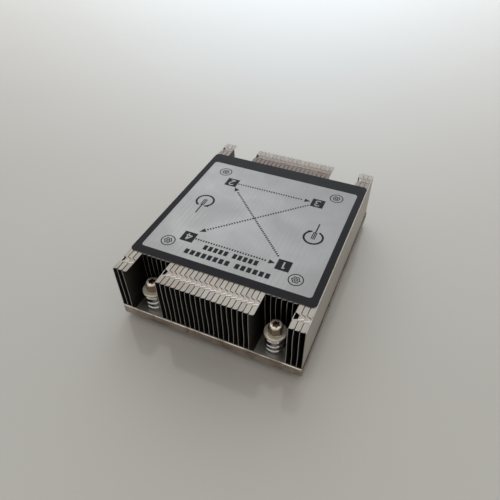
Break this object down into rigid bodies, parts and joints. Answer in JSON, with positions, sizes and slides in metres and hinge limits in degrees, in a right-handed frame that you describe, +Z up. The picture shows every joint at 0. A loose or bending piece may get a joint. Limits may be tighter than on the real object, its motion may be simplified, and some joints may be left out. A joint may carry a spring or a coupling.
{
  "type": "passive server cpu heatsink",
  "caption": "Fanless server processor cooler: folded interlocking fins on a plated base plate, captive spring screws in open corner bays, printed label on top.",
  "frame": {"origin": "centre of the contact face under the block, the lowest face of the heatsink", "axes": "+Z up from the processor through the fins, +Y along the fins and the airflow, +X across the fins towards the flat closing sheet"},
  "size_m": [0.084, 0.1068, 0.0312],
  "materials": {
    "fin_sheet": "rolled aluminium sheet, folded, faint flux stains",
    "plate_nickel": "nickel-plated, milled, satin",
    "block_nickel": "nickel-plated copper, lapped",
    "label_film": "silver polyester film, printed border, satin",
    "screw_steel": "nickel-plated steel, turned",
    "spring_steel": "bright plated spring wire",
    "ring_steel": "stamped spring steel"
  },
  "bodies": {
    "heatsink": {"base_plate": "plate_nickel", "contact_block": "block_nickel", "top_label": "label_film", "fin_01": "fin_sheet", "fin_02": "fin_sheet", "fin_03": "fin_sheet", "fin_04": "fin_sheet", "fin_05": "fin_sheet", "fin_06": "fin_sheet", "fin_07": "fin_sheet", "fin_08": "fin_sheet", "fin_09": "fin_sheet", "fin_10": "fin_sheet", "fin_11": "fin_sheet", "fin_12": "fin_sheet", "fin_13": "fin_sheet", "fin_14": "fin_sheet", "fin_15": "fin_sheet", "fin_16": "fin_sheet", "fin_17": "fin_sheet", "fin_18": "fin_sheet", "fin_19": "fin_sheet", "fin_20": "fin_sheet", "fin_21": "fin_sheet", "fin_22": "fin_sheet", "fin_23": "fin_sheet", "fin_24": "fin_sheet", "fin_25": "fin_sheet", "fin_26": "fin_sheet", "fin_27": "fin_sheet", "fin_28": "fin_sheet", "fin_29": "fin_sheet", "fin_30": "fin_sheet", "fin_31": "fin_sheet", "fin_32": "fin_sheet", "fin_33": "fin_sheet", "fin_34": "fin_sheet", "fin_35": "fin_sheet", "fin_36": "fin_sheet", "fin_37": "fin_sheet", "fin_38": "fin_sheet", "spring_front_left": "spring_steel", "spring_front_right": "spring_steel", "spring_back_left": "spring_steel", "spring_back_right": "spring_steel"},
    "retainer_front_left": {"ring_front_left": "ring_steel"},
    "screw_front_left": {"screw_front_left": "screw_steel"},
    "retainer_front_right": {"ring_front_right": "ring_steel"},
    "screw_front_right": {"screw_front_right": "screw_steel"},
    "retainer_back_left": {"ring_back_left": "ring_steel"},
    "screw_back_left": {"screw_back_left": "screw_steel"},
    "retainer_back_right": {"ring_back_right": "ring_steel"},
    "screw_back_right": {"screw_back_right": "screw_steel"}
  },
  "joints": [
    {"name": "press_front_left", "type": "slide", "parent": "heatsink", "child": "retainer_front_left", "axis": [0, 0, 1], "range_m": [-0.0035, 0], "stiffness_N_per_m": 6000, "springref_m": 0.0015, "deforming": ["spring_front_left"]},
    {"name": "turn_front_left", "type": "hinge", "parent": "retainer_front_left", "child": "screw_front_left", "pos_m": [-0.028, -0.047, 0.0032], "axis": [0, 0, 1], "continuous": true},
    {"name": "press_front_right", "type": "slide", "parent": "heatsink", "child": "retainer_front_right", "axis": [0, 0, 1], "range_m": [-0.0035, 0], "stiffness_N_per_m": 6000, "springref_m": 0.0015, "deforming": ["spring_front_right"]},
    {"name": "turn_front_right", "type": "hinge", "parent": "retainer_front_right", "child": "screw_front_right", "pos_m": [0.028, -0.047, 0.0032], "axis": [0, 0, 1], "continuous": true},
    {"name": "press_back_left", "type": "slide", "parent": "heatsink", "child": "retainer_back_left", "axis": [0, 0, 1], "range_m": [-0.0035, 0], "stiffness_N_per_m": 6000, "springref_m": 0.0015, "deforming": ["spring_back_left"]},
    {"name": "turn_back_left", "type": "hinge", "parent": "retainer_back_left", "child": "screw_back_left", "pos_m": [-0.028, 0.047, 0.0032], "axis": [0, 0, 1], "continuous": true},
    {"name": "press_back_right", "type": "slide", "parent": "heatsink", "child": "retainer_back_right", "axis": [0, 0, 1], "range_m": [-0.0035, 0], "stiffness_N_per_m": 6000, "springref_m": 0.0015, "deforming": ["spring_back_right"]},
    {"name": "turn_back_right", "type": "hinge", "parent": "retainer_back_right", "child": "screw_back_right", "pos_m": [0.028, 0.047, 0.0032], "axis": [0, 0, 1], "continuous": true}
  ]
}
